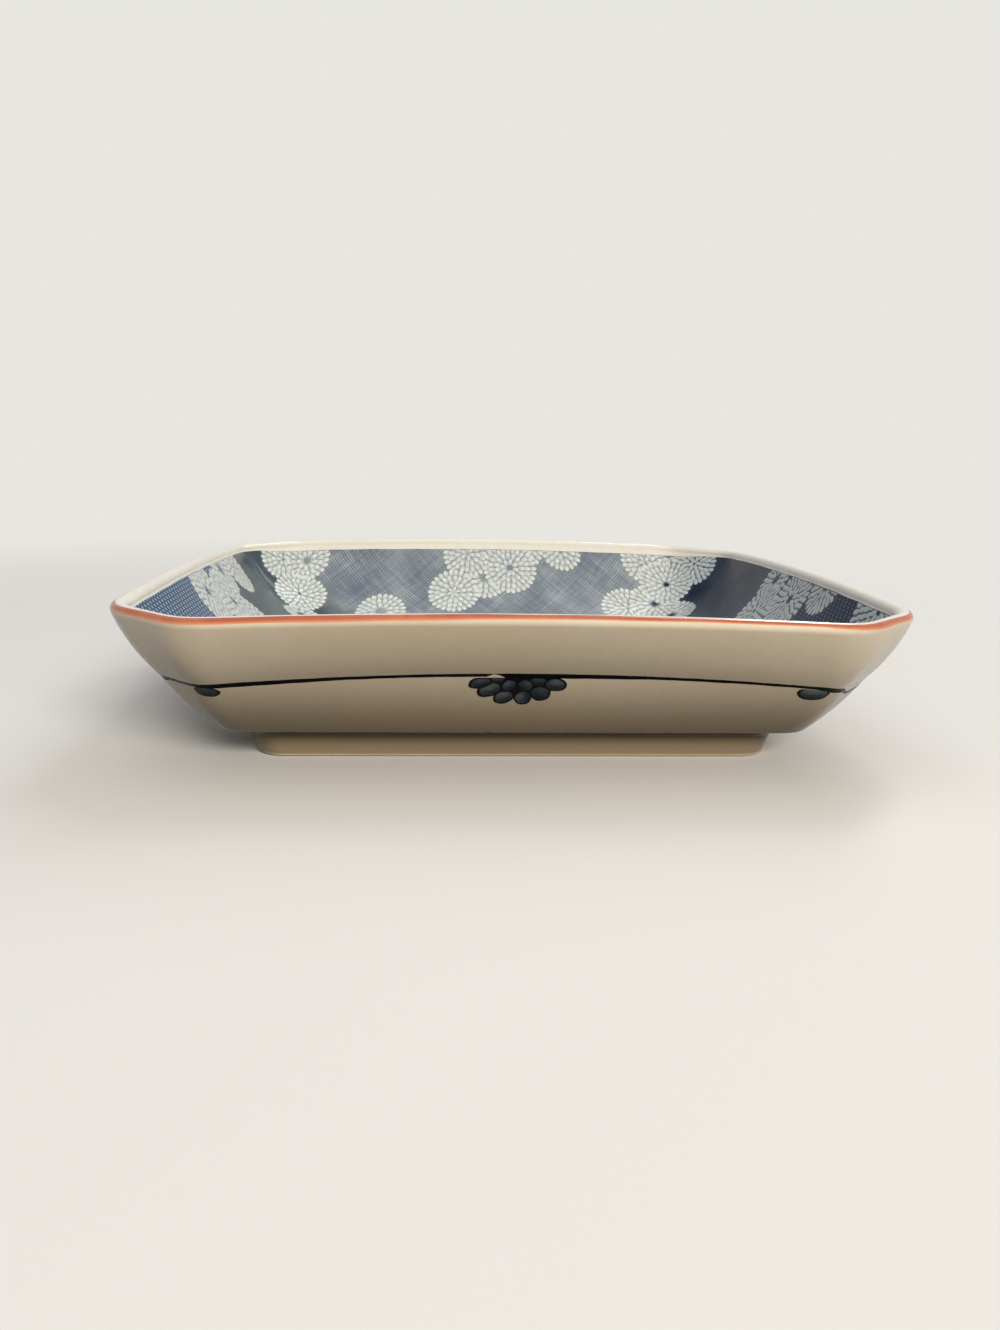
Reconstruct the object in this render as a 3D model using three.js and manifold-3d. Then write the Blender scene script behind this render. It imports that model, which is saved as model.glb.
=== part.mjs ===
// Square porcelain dish with cut corners, standing on a square foot ring.
// Millimetres, +Z up. The origin is on the table under the middle of the dish, and -Y is the front side.
// The fired body is one piece, and everything on it is a thin coat that follows the same profile:
// white glaze, a red line on the lip, a blue line on the shoulder with blue flowers under it, a blue well.
import * as THREE from "three";
import { mergeVertices } from "three/addons/utils/BufferGeometryUtils.js";
import Module from "manifold-3d";

// Overall size
const WIDTH = 145; // across the flats, at the lip's widest line
const CORNER_HEIGHT = 29.8; // table to the lip's crest at the cut corners
const RIM_ARCH = 1.2; // rise of the crest from a corner to the middle of a side

// Lip
const LIP_THICKNESS = 3.0;
const RED_LINE_START = 0.6; // round the lip from its widest line
const RED_LINE_WIDTH = 1.1;
const WHITE_BORDER = 1.6; // white margin inside, below the lip's rounding

// Shoulder, where the upper wall steps in to the lower wall
const SHOULDER_DROP = 12.5; // below the crest at the cut corners
const SHOULDER_INSET = 7.5; // in from the widest line
const SHOULDER_ARCH = 2.4; // rise of the step from a corner to the middle of a side
const STEP_DEPTH = 0.55;
const BLUE_LINE_HEIGHT = 0.65;
const UPPER_WALL_BULGE = 0.5; // how far the wall swells past a straight flare
const LOWER_WALL_BULGE = 0.9;

// Underside and foot ring
const WALL_END_INSET = 12.2; // in from the shoulder, where the lower wall turns under
const LEDGE_WIDTH = 2.5; // from there in to the root of the foot
const LEDGE_RISE = 0.6; // and down to it
const FOOT_HEIGHT = 5.0;
const FOOT_TAPER = 1.0; // each side, from the root to the bottom edge
const FOOT_THICKNESS = 4.6; // of the ring, at the bottom edge
const FOOT_EDGE_ROUND = 0.6;
const ROOT_FILLET = 0.7;
const BASE_HEIGHT = 4.5; // table to the underside within the foot ring
const BASE_FILLET = 1.4;

// Well
const FLOOR_THICKNESS = 4.7;
const SHOULDER_WALL = 1.85; // from the shoulder in to the straight line that the inside wall leaves the lip on
const FLOOR_SWEEP = 14.5; // from where that line meets the floor in to the flat of the floor

// Cut corners: the length taken off each end of a side, and the rounding of the two edges that this leaves
const RIM_CUT = 15.9;
const SHOULDER_CUT = 9.9;
const WALL_END_CUT = 5.0;
const FOOT_CUT = 3.4;
const FLOOR_CUT = 4.6;
const RIM_ROUNDING = 14.5;
const SHOULDER_ROUNDING = 8.5;
const WALL_END_ROUNDING = 8.0;
const FOOT_ROUNDING = 5.4;
const FLOOR_ROUNDING = 7.4;

// Coats
const GLAZE_THICKNESS = 0.45;
const COAT_GAP = 0.1; // between a coat and the body
const SEAM_GAP = 0.1; // between two coats that meet
const PAINT_THICKNESS = 0.3;
const PAINT_PROUD = 0.06; // of the flowers and petals, above the glaze

// Half flower under the line in the middle of each side, and a single petal near each end of the side
const FLOWER = { width: 17.2, drop: 5.3, lobes: 6, lobeDepth: 1.0, steps: 24 };
const FLOWER_SHIFT = -0.9; // of the flower's middle from the side's middle, seen from outside
const END_PETAL = { width: 4.9, drop: 2.5, lobes: 1, lobeDepth: 0, steps: 10 };
const END_PETAL_INSETS = { left: 0.4, right: 4.3 }; // from the end of the side to the petal's middle
const PAINT_TOP_GAP = 0.2; // between the line and the paint under it

// Facets
const ARC_STEPS = 3; // in each of the eight rounded edges
const SIDE_STEPS = 6; // along each side, to follow its arch
const WALL_STEPS = 4;
const LIP_STEPS = 4;
const TOP_STEPS = 6; // along the top of a flower or petal
const PLATE_RINGS = 2;

const { clamp, lerp, inverseLerp } = THREE.MathUtils;
const EIGHTH_TURN = Math.PI / 4;
const TANGENT_SHARE = Math.tan(EIGHTH_TURN / 2); // of a rounding's radius, taken from each face beside it
const DIAGONAL_SHARE = 2 - Math.SQRT2; // what a cut loses as its outline moves in by 1

const wasm = await Module();
wasm.setup();

const at = (x, y) => new THREE.Vector2(x, y);
const rightOf = (direction) => at(direction.y, -direction.x);

// The shape of an outline part of the way between two others
function blend(a, b, share) {
  return {
    cut: lerp(a.cut, b.cut, share),
    rounding: lerp(a.rounding, b.rounding, share),
    arch: lerp(a.arch, b.arch, share),
  };
}

// The shape of the outline at a height, between named levels that run upwards
function shapeBetween(levels, z) {
  const upper = Math.max(1, levels.findIndex((level) => level.z >= z));
  const [a, b] = z > levels.at(-1).z ? levels.slice(-2) : [levels[upper - 1], levels[upper]];
  return blend(a, b, clamp(inverseLerp(a.z, b.z, z), 0, 1));
}

const shoulder = at(WIDTH / 2 - SHOULDER_INSET, CORNER_HEIGHT - SHOULDER_DROP);
const stepFoot = at(shoulder.x - STEP_DEPTH, shoulder.y - BLUE_LINE_HEIGHT);
const wallEnd = at(shoulder.x - WALL_END_INSET, FOOT_HEIGHT + LEDGE_RISE);
const footRoot = at(wallEnd.x - LEDGE_WIDTH, FOOT_HEIGHT);
const footOuter = footRoot.x - FOOT_TAPER;
const footInner = footOuter - FOOT_THICKNESS;
const glazeEnd = FOOT_EDGE_ROUND + COAT_GAP; // the glaze is wiped off the foot below this height
const lipRadius = LIP_THICKNESS / 2;
const lipCentre = at(WIDTH / 2 - lipRadius, CORNER_HEIGHT - lipRadius);
const lipInside = at(lipCentre.x - lipRadius, lipCentre.y);
const floorHeight = BASE_HEIGHT + FLOOR_THICKNESS;
const wallShare = inverseLerp(lipInside.y, shoulder.y, floorHeight);
const wellCorner = at(lerp(lipInside.x, shoulder.x - SHOULDER_WALL, wallShare), floorHeight);
const rimOutside = { z: lipCentre.y, cut: RIM_CUT, rounding: RIM_ROUNDING, arch: RIM_ARCH };
const rimInside = {
  z: lipCentre.y,
  cut: RIM_CUT - DIAGONAL_SHARE * LIP_THICKNESS,
  rounding: RIM_ROUNDING - LIP_THICKNESS,
  arch: RIM_ARCH,
};
const footLevel = { z: FOOT_HEIGHT - ROOT_FILLET, cut: FOOT_CUT, rounding: FOOT_ROUNDING, arch: 0 };
const outsideLevels = [
  footLevel,
  { z: wallEnd.y, cut: WALL_END_CUT, rounding: WALL_END_ROUNDING, arch: 0 },
  { z: shoulder.y, cut: SHOULDER_CUT, rounding: SHOULDER_ROUNDING, arch: SHOULDER_ARCH },
  rimOutside,
];
const insideLevels = [
  { z: floorHeight, cut: FLOOR_CUT, rounding: FLOOR_ROUNDING, arch: 0 },
  rimInside,
];
const outside = (z) => shapeBetween(outsideLevels, z);
const inside = (z) => shapeBetween(insideLevels, z);
const foot = () => footLevel;

// Profile points hold a half width, a height, the profile's outward normal and the outline's shape there.
// The profile runs from the axis under the base, out and up round the lip, and back to the axis on the floor.
function along(curve, steps, shapeAt, from = 0, to = 1) {
  return Array.from({ length: steps + 1 }, (_, i) => {
    const u = lerp(from, to, i / steps);
    const p = curve.getPointAt(u);
    return { ...shapeAt(p.y), half: p.x, z: p.y, normal: rightOf(curve.getTangentAt(u)) };
  });
}

function roundLip(from, to, steps) {
  return Array.from({ length: steps + 1 }, (_, i) => {
    const angle = lerp(from, to, i / steps);
    const normal = at(Math.cos(angle), Math.sin(angle));
    const [half, z] = [lipCentre.x + lipRadius * normal.x, lipCentre.y + lipRadius * normal.y];
    return { ...blend(rimOutside, rimInside, angle / Math.PI), half, z, normal };
  });
}

// A wall that swells outwards from the straight line between its ends
function swellingWall(from, to, bulge) {
  const outwards = rightOf(to.clone().sub(from).normalize());
  const control = from.clone().lerp(to, 0.5).addScaledVector(outwards, 2 * bulge);
  return new THREE.QuadraticBezierCurve(from, control, to);
}

const baseCurve = new THREE.QuadraticBezierCurve(
  at(footInner - FOOT_TAPER - BASE_FILLET, BASE_HEIGHT),
  at(footInner - FOOT_TAPER, BASE_HEIGHT),
  at(footInner, glazeEnd),
);
const footCurve = new THREE.LineCurve(at(footOuter, glazeEnd), at(footRoot.x, footRoot.y - ROOT_FILLET));
const rootCurve = new THREE.QuadraticBezierCurve(footCurve.v2, footRoot, wallEnd);
const lowerWallCurve = swellingWall(wallEnd, stepFoot, LOWER_WALL_BULGE);
const upperWallCurve = swellingWall(shoulder, at(WIDTH / 2, lipCentre.y), UPPER_WALL_BULGE);
const wellCurve = new THREE.QuadraticBezierCurve(
  lipInside,
  wellCorner,
  at(wellCorner.x - FLOOR_SWEEP, floorHeight),
);
const redStart = RED_LINE_START / lipRadius;
const redEnd = redStart + RED_LINE_WIDTH / lipRadius;
const border = WHITE_BORDER / wellCurve.getLength();

const bands = {
  base: along(baseCurve, 2, foot),
  lowerWall: [
    ...along(footCurve, 1, foot),
    ...along(rootCurve, 2, outside).slice(1),
    ...along(lowerWallCurve, WALL_STEPS, outside).slice(1),
  ],
  blueLine: along(new THREE.LineCurve(stepFoot, shoulder), 1, outside),
  upperWall: [...along(upperWallCurve, WALL_STEPS, outside), ...roundLip(0, redStart, 1).slice(1)],
  redLine: roundLip(redStart, redEnd, 2),
  lip: [...roundLip(redEnd, Math.PI, LIP_STEPS), ...along(wellCurve, 1, inside, 0, border).slice(1)],
  well: along(wellCurve, WALL_STEPS + 2, inside, border, 1),
};

// The outline that a profile point stands for, moved inwards by a depth along the profile's normal
function outlineOf(point, depth = 0) {
  const moved = -point.normal.x * depth;
  const half = point.half + moved;
  const cut = point.cut + DIAGONAL_SHARE * moved;
  const fullRound = cut / DIAGONAL_SHARE; // the radius at which the cut face is gone
  const rounding = Math.min(point.rounding + moved, 0.98 * fullRound);
  const sideEnd = half - cut;
  const straightEnd = sideEnd - rounding * TANGENT_SHARE;
  return { half, rounding, sideEnd, straightEnd, z: point.z - point.normal.y * depth, arch: point.arch };
}

// A point on an outline, by its distance along the outline from the middle of a side
function pointOnOutline(outline, side, distance) {
  const { half, rounding, sideEnd, straightEnd, z, arch } = outline;
  const beyond = Math.max(0, Math.abs(distance) - straightEnd);
  const angle = Math.min(beyond / rounding, EIGHTH_TURN);
  const onCut = Math.max(0, beyond - rounding * EIGHTH_TURN) * Math.SQRT1_2;
  const x = Math.min(Math.abs(distance), straightEnd) + rounding * Math.sin(angle) + onCut;
  const y = -half + rounding * (1 - Math.cos(angle)) + onCut;
  const rise = arch * Math.max(0, 1 - (Math.min(x, -y) / sideEnd) ** 2);
  const turned = at(Math.sign(distance) * x, y).rotateAround(at(0, 0), side * 2 * EIGHTH_TURN);
  return new THREE.Vector3(turned.x, turned.y, z + rise);
}

// All round an outline: the straight of each side, then the two rounded edges with the cut face between them
function ring(point, depth) {
  const outline = outlineOf(point, depth);
  const { rounding, straightEnd } = outline;
  const points = [];
  for (let side = 0; side < 4; side++) {
    for (let i = 0; i <= SIDE_STEPS; i++)
      points.push(pointOnOutline(outline, side, lerp(-straightEnd, straightEnd, i / SIDE_STEPS)));
    for (let i = 1; i <= ARC_STEPS; i++)
      points.push(pointOnOutline(outline, side, straightEnd + (rounding * EIGHTH_TURN * i) / ARC_STEPS));
    for (let i = ARC_STEPS; i >= 1; i--)
      points.push(pointOnOutline(outline, side + 1, -straightEnd - (rounding * EIGHTH_TURN * i) / ARC_STEPS));
  }
  return points;
}

// Skins a row of rings: round to its own start, or closed at each end by a fan to a point.
// Each four-sided face is split along its shorter diagonal, so that stacked skins split alike.
function skin(rings, startPoint, endPoint) {
  const count = rings[0].length;
  const vertices = rings.flat();
  const faces = [];
  const closed = !startPoint;
  const apart = (a, b) => vertices[a].distanceTo(vertices[b]);
  for (let r = 0; r < rings.length - (closed ? 0 : 1); r++) {
    const lower = r * count;
    const upper = ((r + 1) % rings.length) * count;
    for (let i = 0; i < count; i++) {
      const j = (i + 1) % count;
      const [a, b, c, d] = [lower + i, lower + j, upper + j, upper + i];
      if (apart(a, c) < apart(b, d)) faces.push(a, b, c, a, c, d);
      else faces.push(a, b, d, b, c, d);
    }
  }
  if (!closed) {
    const last = (rings.length - 1) * count;
    const start = vertices.push(startPoint, endPoint) - 2;
    for (let i = 0; i < count; i++) {
      const j = (i + 1) % count;
      faces.push(j, i, start, last + i, last + j, start + 1);
    }
  }
  return new THREE.BufferGeometry().setFromPoints(vertices).setIndex(faces);
}

const onAxis = (somewhere) => new THREE.Vector3(0, 0, somewhere.z);

// Draws both ends of a band in from the seams that it shares with its neighbours
function betweenSeams(points) {
  const drawn = points.slice();
  for (const [end, next] of [[0, 1], [points.length - 1, points.length - 2]]) {
    const [p, q] = [points[end], points[next]];
    const share = SEAM_GAP / 2 / Math.hypot(q.half - p.half, q.z - p.z);
    drawn[end] = { ...p, half: lerp(p.half, q.half, share), z: lerp(p.z, q.z, share) };
  }
  return drawn;
}

// A coat round the dish has its finished face and a back one glaze thickness deeper.
function coatRound(band) {
  const points = betweenSeams(band);
  const back = points.map((p) => ring(p, GLAZE_THICKNESS)).reverse();
  return skin([...points.map((p) => ring(p, 0)), ...back]);
}

// A coat over the axis closes its face and its back with a fan each.
function coatOverAxis(band, startsAtAxis) {
  const points = betweenSeams(band);
  const face = points.map((p) => ring(p, 0));
  const back = points.map((p) => ring(p, GLAZE_THICKNESS)).reverse();
  const rings = startsAtAxis ? [...face, ...back] : [...back, ...face];
  return skin(rings, onAxis(rings[0][0]), onAxis(rings.at(-1)[0]));
}

// The fired body, one coat and its gap inside the finished surface except on the bare edge of the foot
function bodyGeometry() {
  const under = GLAZE_THICKNESS + COAT_GAP;
  const rings = bands.base.map((p) => ring(p, under));
  const bareEdge = [
    [footInner, FOOT_EDGE_ROUND],
    [footInner + FOOT_EDGE_ROUND, 0],
    [footOuter - FOOT_EDGE_ROUND, 0],
    [footOuter, FOOT_EDGE_ROUND],
  ];
  for (const [half, z] of bareEdge) rings.push(ring({ ...footLevel, half, z, normal: at(0, 0) }, 0));
  for (const name of ["lowerWall", "blueLine", "upperWall", "redLine", "lip", "well"]) {
    const isFirst = name === "lowerWall";
    for (const p of bands[name].slice(isFirst ? 0 : 1)) rings.push(ring(p, under));
  }
  return skin(rings, onAxis(rings[0][0]), onAxis(rings.at(-1)[0]));
}

// A plate that lies on the lower wall. Its outline is flat: x along the side, y down from the line.
function wallPlate(outline, side, middle, inner, outer) {
  const wallLength = lowerWallCurve.getLength();
  const centre = outline.reduce((sum, p) => sum.add(p), at(0, 0)).divideScalar(outline.length);
  const place = (p, height) => {
    const u = Math.min(1 - p.y / wallLength, 1);
    const [point] = along(lowerWallCurve, 1, outside, u, u);
    const above = Math.max(0, -p.y);
    point.half -= above * point.normal.y;
    point.z += above * point.normal.x;
    return pointOnOutline(outlineOf(point, -height), side, middle + p.x);
  };
  const ringAt = (share, height) => outline.map((p) => place(centre.clone().lerp(p, share), height));
  const shares = Array.from({ length: PLATE_RINGS }, (_, i) => (i + 1) / PLATE_RINGS);
  const face = shares.map((share) => ringAt(share, outer));
  const back = shares.map((share) => ringAt(share, inner)).reverse();
  return skin([...face, ...back], place(centre, outer), place(centre, inner));
}

// A half round shape under the line: its lower edge from right to left, then its top edge back to the right
function halfRound({ width, drop, lobes, lobeDepth, steps }, grow, top) {
  const outline = [];
  for (let i = 0; i <= steps; i++) {
    const angle = (Math.PI * i) / steps;
    const reach = grow - lobeDepth * (1 - Math.sqrt(Math.abs(Math.sin(lobes * angle))));
    outline.push(at((width / 2 + reach) * Math.cos(angle), PAINT_TOP_GAP + (drop + reach) * Math.sin(angle)));
  }
  outline[0].y = top;
  outline[steps].y = top;
  const left = outline[steps].x;
  for (let i = 1; i < TOP_STEPS; i++) outline.push(at(lerp(left, -left, i / TOP_STEPS), top));
  return outline;
}

function solidOf(geometry) {
  const merged = mergeVertices(geometry, 1e-4);
  const vertProperties = merged.getAttribute("position").array;
  const triVerts = new Uint32Array(merged.index.array);
  return new wasm.Manifold(new wasm.Mesh({ numProp: 3, vertProperties, triVerts }));
}

function geometryOf(solid) {
  const { vertProperties, triVerts, numProp, numVert } = solid.getMesh();
  const position = new Float32Array(numVert * 3);
  for (let i = 0; i < numVert; i++)
    position.set(vertProperties.subarray(i * numProp, i * numProp + 3), i * 3);
  return new THREE.BufferGeometry()
    .setAttribute("position", new THREE.BufferAttribute(position, 3))
    .setIndex(new THREE.BufferAttribute(triVerts, 1));
}

const porcelain = new THREE.MeshStandardMaterial({ color: 0xe9e3d6, roughness: 0.6, metalness: 0 });
const whiteGlaze = new THREE.MeshStandardMaterial({ color: 0xe8e1d2, roughness: 0.12, metalness: 0 });
const wellGlaze = new THREE.MeshStandardMaterial({ color: 0x6d83a0, roughness: 0.12, metalness: 0 });
const redEnamel = new THREE.MeshStandardMaterial({ color: 0xb5492a, roughness: 0.25, metalness: 0 });
const cobalt = new THREE.MeshStandardMaterial({ color: 0x1c2738, roughness: 0.15, metalness: 0 });

const dish = new THREE.Group();
function add(name, geometry, material) {
  const mesh = new THREE.Mesh(geometry, material);
  mesh.name = name;
  dish.add(mesh);
}

// The painted plates lie in pockets through the lower wall's glaze.
const sides = ["front", "right", "back", "left"];
const plates = [];
sides.forEach((side, turn) => {
  plates.push({ name: `flower_${side}`, shape: FLOWER, turn, middle: FLOWER_SHIFT });
  for (const [end, sign] of [["left", -1], ["right", 1]]) {
    const middle = sign * (stepFoot.x - SHOULDER_CUT - END_PETAL_INSETS[end]);
    plates.push({ name: `end_petal_${side}_${end}`, shape: END_PETAL, turn, middle });
  }
});
let lowerWall = solidOf(coatRound(bands.lowerWall));
for (const { name, shape, turn, middle } of plates) {
  const opening = halfRound(shape, SEAM_GAP, -SEAM_GAP);
  const pocket = wallPlate(opening, turn, middle, -3 * GLAZE_THICKNESS, GLAZE_THICKNESS);
  lowerWall = lowerWall.subtract(solidOf(pocket));
  const paint = halfRound(shape, 0, PAINT_TOP_GAP);
  add(name, wallPlate(paint, turn, middle, PAINT_PROUD - PAINT_THICKNESS, PAINT_PROUD), cobalt);
}

add("porcelain_body", bodyGeometry(), porcelain);
add("base_glaze", coatOverAxis(bands.base, true), whiteGlaze);
add("lower_wall_glaze", geometryOf(lowerWall), whiteGlaze);
add("shoulder_blue_line", coatRound(bands.blueLine), cobalt);
add("upper_wall_glaze", coatRound(bands.upperWall), whiteGlaze);
add("rim_red_line", coatRound(bands.redLine), redEnamel);
add("lip_glaze", coatRound(bands.lip), whiteGlaze);
add("well_blue_glaze", coatOverAxis(bands.well, false), wellGlaze);

export default dish;
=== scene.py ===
# A small square porcelain dish with cut corners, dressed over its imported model.
# The glaze, the painted lines and the flowers are finely meshed along the profile of the model.
# The lower wall, the lines, the white margin and the flowers differ from it, as measured on the photograph.
# The dish is worked out in millimetres, with -Y as the front side, and each mesh is made in metres.
import math

import bpy
import numpy as np
from mathutils import Matrix, Vector


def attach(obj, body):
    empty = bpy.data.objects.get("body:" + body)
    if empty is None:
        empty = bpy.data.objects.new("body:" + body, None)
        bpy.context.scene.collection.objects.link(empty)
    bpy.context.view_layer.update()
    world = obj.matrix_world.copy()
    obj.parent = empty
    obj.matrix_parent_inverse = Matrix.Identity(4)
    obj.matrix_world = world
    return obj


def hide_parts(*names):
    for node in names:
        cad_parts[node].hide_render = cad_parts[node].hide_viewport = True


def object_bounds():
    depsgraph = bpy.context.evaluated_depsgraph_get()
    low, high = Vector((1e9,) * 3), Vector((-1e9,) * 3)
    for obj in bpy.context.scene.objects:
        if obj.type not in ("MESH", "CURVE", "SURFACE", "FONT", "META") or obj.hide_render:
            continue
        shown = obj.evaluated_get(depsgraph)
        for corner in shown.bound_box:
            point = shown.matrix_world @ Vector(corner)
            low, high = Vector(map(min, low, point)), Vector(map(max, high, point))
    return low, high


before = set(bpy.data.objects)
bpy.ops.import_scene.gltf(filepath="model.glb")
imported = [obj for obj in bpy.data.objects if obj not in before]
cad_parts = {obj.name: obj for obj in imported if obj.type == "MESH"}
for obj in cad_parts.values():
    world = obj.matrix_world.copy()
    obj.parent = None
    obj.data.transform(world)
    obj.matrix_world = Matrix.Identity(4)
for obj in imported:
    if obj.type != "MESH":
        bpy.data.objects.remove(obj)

CAD_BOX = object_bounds()
MM = 0.001

# Sizes that the model shares
CAD_HIGH = CAD_BOX[1] / MM
WIDTH = 2 * CAD_HIGH.x
RIM_ARCH = 1.2
CORNER_HEIGHT = CAD_HIGH.z - RIM_ARCH
LIP_THICKNESS = 3.0
SHOULDER_DROP = 12.5
SHOULDER_INSET = 7.5
SHOULDER_ARCH = 2.4
STEP_DEPTH = 0.55
BLUE_LINE_HEIGHT = 0.65
UPPER_WALL_BULGE = 0.5
FOOT_HEIGHT = 5.0
FOOT_TAPER = 1.0
FOOT_THICKNESS = 4.6
FOOT_EDGE_ROUND = 0.6
ROOT_FILLET = 0.7
BASE_HEIGHT = 4.5
BASE_FILLET = 1.4
FLOOR_THICKNESS = 4.7
SHOULDER_WALL = 1.85
FLOOR_SWEEP = 14.5
GLAZE = 0.45
FLOWER_SHIFT = -0.9
END_PETAL_INSETS = {"left": 0.4, "right": 4.3}

# The cut corner at each level: length off each end of a side, rounding of its edges, arch of the side
RIM = (15.9, 14.5, RIM_ARCH)
SHOULDER = (9.9, 8.5, SHOULDER_ARCH)
FOOT = (3.4, 5.4, 0.0)
FLOOR = (4.6, 7.4, 0.0)

# Sizes that differ from the model's, as seen in the photograph
WALL_END = (3.3, 6.1, 0.0)
LOWER_WALL_BULGE = 0.35
WALL_END_INSET = 9.8
LEDGE_WIDTH = 4.9
LEDGE_RISE = 1.45
RED_LINE_START = 0.45
RED_LINE_WIDTH = 1.15
FRONT_RED_LINE_WIDTH = 1.46
WHITE_BORDERS = {"front": 1.6, "right": 0.35, "back": 1.6, "left": 0.5}

# Shares for the corners
ROUNDING_LIMIT = 0.98
EIGHTH_TURN = math.pi / 4
TANGENT_SHARE = math.tan(EIGHTH_TURN / 2)
DIAGONAL_SHARE = 2 - math.sqrt(2)
HALF_ROOT = math.sqrt(0.5)
SIDES = ("front", "right", "back", "left")

# How finely the dish is meshed
CURVE_POINTS = 60
LIP_POINTS = 80
PROFILE_STEP = 0.05
PROFILE_SOFTENING = 5
SIDE_POINTS = 96
EDGE_POINTS = 8
FACE_POINTS = 8
BACK_ROW_STRIDE = 4
COAT_ROWS = {"base": 8, "recess": 14, "lower": 64, "line": 9, "upper": 34, "lip": 22, "well": 56, "floor": 12}
BODY_ROWS = {"base": 5, "recess": 8, "bare": 30, "covered": 90}
BODY_STEP = 0.02
AXIS_MARGIN = 1.5
TINY_LENGTH = 1e-6
TINY_SLOPE = 1e-9
SHARP_ANGLE = math.radians(40)
FINE = "fine_"

# Painted lines
LINE_END_GROWTH = 0.42
LINE_THINNING = 0.18
LINE_SAG = 2.1
RED_LINE_THINNING = 0.28
RED_LINE_RISE = 0.38
LINE_GAP_PLACE = -4.2
LINE_GAP_LENGTH = 1.0
LINE_GAP_ENDS = 0.6
LINE_GAP_THREAD = 0.08
LINE_TOP = 0.02
RED_LINE_PROUD = 0.035
BORDER_CLEARANCE = 0.15

# Where the blue line thickens: shares of half a side, millimetres from the flower, turns past mid-side
LEFT_END = (0.45, 0.97)
RIGHT_END = (0.93, 1.0)
PAST_FLOWER = ((-3.5, -2.4), (28, 9))
PAST_FLOWER_GROWTH = 0.75
CORNER_START = ((0.40, 0.412), (0.455, 0.432))
CORNER_END = (0.56, 0.60)
CORNER_GROWTH = 0.3

# Where the lines sag, rise or thin out, in quarter turns past the front's middle
SAGGING = ((0.405, 0.49), (0.68, 0.51))
RED_LINE_RISES = ((-0.3, 0.1), (0.44, 0.38))
RED_LINE_THINS = ((0.15, 0.27), (0.43, 0.37))
RED_LINE_FRONT = (0.66, 0.50)

# How each border wanders: how far, and its waves round the dish by count and start
WANDERS = {
    "line_foot": (0.05, (37, 0), (59, 2), (101, 4)),
    "line_top": (0.04, (31, 1), (67, 3), (113, 5)),
    "red_start": (0.09, (5, 0), (13, 2), (29, 4)),
    "red_end": (0.14, (4, 1), (9, 3), (23, 5)),
    "white_end": (0.10, (3, 1), (11, 2), (41, 3)),
}

# Glaze and the ground of the well
GLAZE_ROUGHNESS = 0.12
GLOSS_RANGE = (GLAZE_ROUGHNESS - 0.03, GLAZE_ROUGHNESS + 0.05)
PAINTED_SHADE_TOP = 24.0
HATCH_PITCH = 0.74
DASH_ROW_PITCH = 0.85
DASH_PITCH = 1.9

# Studio, in metres, and the photograph's camera, in millimetres, radians and pixels
FLOOR_REACH = 3.0
FLOOR_FRONT = -2.0
FLOOR_BACK = 1.2
SWEEP = 0.8
SWEEP_POINTS = 24
BACKDROP_HEIGHT = 3.0
PAPER = (232, 232, 232)
PAPER_WHITE = (232, 230, 225)
PAPER_NEAR = 0.16
PAPER_FAR = 0.48
FLOOR_BOUNCE = (44, 39, 30)
WORLD_GLOW = (236, 234, 230)
WORLD_LEVEL = 0.32
# Lamps: place, target, size, power in watts, tint, whether the glaze mirrors it
LAMPS = {
    "window": ((0.42, 0.62, 0.86), (0.03, -0.07, 0.03), (0.22, 0.90), 4.5, (1.0, 1.0, 1.0), True),
    "front": ((0.38, -1.20, 0.66), (0, 0, 0.02), (0.80, 0.35), 17.0, (1.0, 0.925, 0.80), False),
    "top": ((-0.30, 0.05, 1.25), (0, 0, 0.02), (1.10, 1.10), 3.0, (1.0, 1.0, 0.99), True),
}
CAMERA_PLACE = (-15.17, -229.0, 56.36)
CAMERA_TURNS = (0.2108, 0.066, 0.0204)
PHOTO_FOCUS = 989.5
PHOTO_HEIGHT = 1330


# The profile, from the axis under the base, out and up round the lip, and back to the axis on the floor

def bezier(a, b, c):
    t = np.linspace(0, 1, CURVE_POINTS)[:, None]
    return (1 - t) ** 2 * np.array(a) + 2 * t * (1 - t) * np.array(b) + t ** 2 * np.array(c)


def swelling(a, b, bulge):
    a, b = np.array(a), np.array(b)
    along = (b - a) / np.linalg.norm(b - a)
    outwards = np.array([along[1], -along[0]])
    return bezier(a, (a + b) / 2 + 2 * bulge * outwards, b)


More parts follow.
